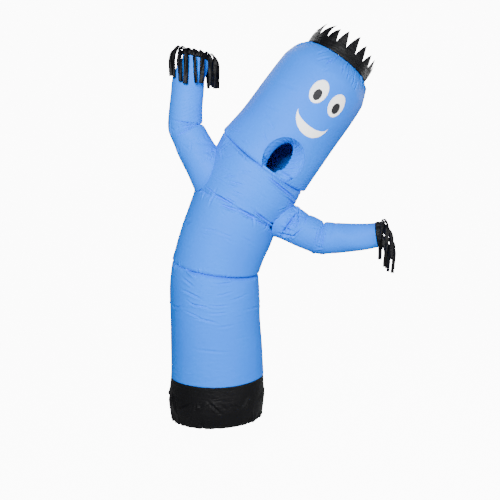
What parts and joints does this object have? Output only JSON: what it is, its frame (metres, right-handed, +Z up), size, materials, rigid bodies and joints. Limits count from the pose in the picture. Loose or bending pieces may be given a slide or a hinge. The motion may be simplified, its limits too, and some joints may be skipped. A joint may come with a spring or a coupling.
{
  "type": "inflatable air dancer costume",
  "caption": "Hollow cloth tube costume that bends to one side, with a smiling face, raised and stretched sleeves, ribbon cuffs and a pointed crown.",
  "frame": {"origin": "where the costume is carried when worn, inside the chest between the two armholes", "axes": "+Z up along the height, -Y towards the face's side, +X towards the side that the tube bends to"},
  "size_m": [1.1653, 0.5004, 2.0274],
  "materials": {
    "blue_cloth": "thin bright blue nylon with a soft sheen",
    "black_cloth": "thin black nylon with a dull sheen",
    "white_patch": "matt white cloth patch",
    "dark_patch": "matt dark grey cloth patch"
  },
  "bodies": {
    "root": {"skirt": "black_cloth", "body_lower": "blue_cloth", "body_upper": "blue_cloth", "head": "blue_cloth", "top_cap": "blue_cloth", "crown": "black_cloth", "face_lining": "blue_cloth", "sleeve_left": "blue_cloth", "sleeve_right": "blue_cloth", "fringe_left": "black_cloth", "fringe_right": "black_cloth", "eye_left": "white_patch", "eye_right": "white_patch", "pupil_left": "dark_patch", "pupil_right": "dark_patch", "smile": "white_patch"}
  },
  "joints": []
}
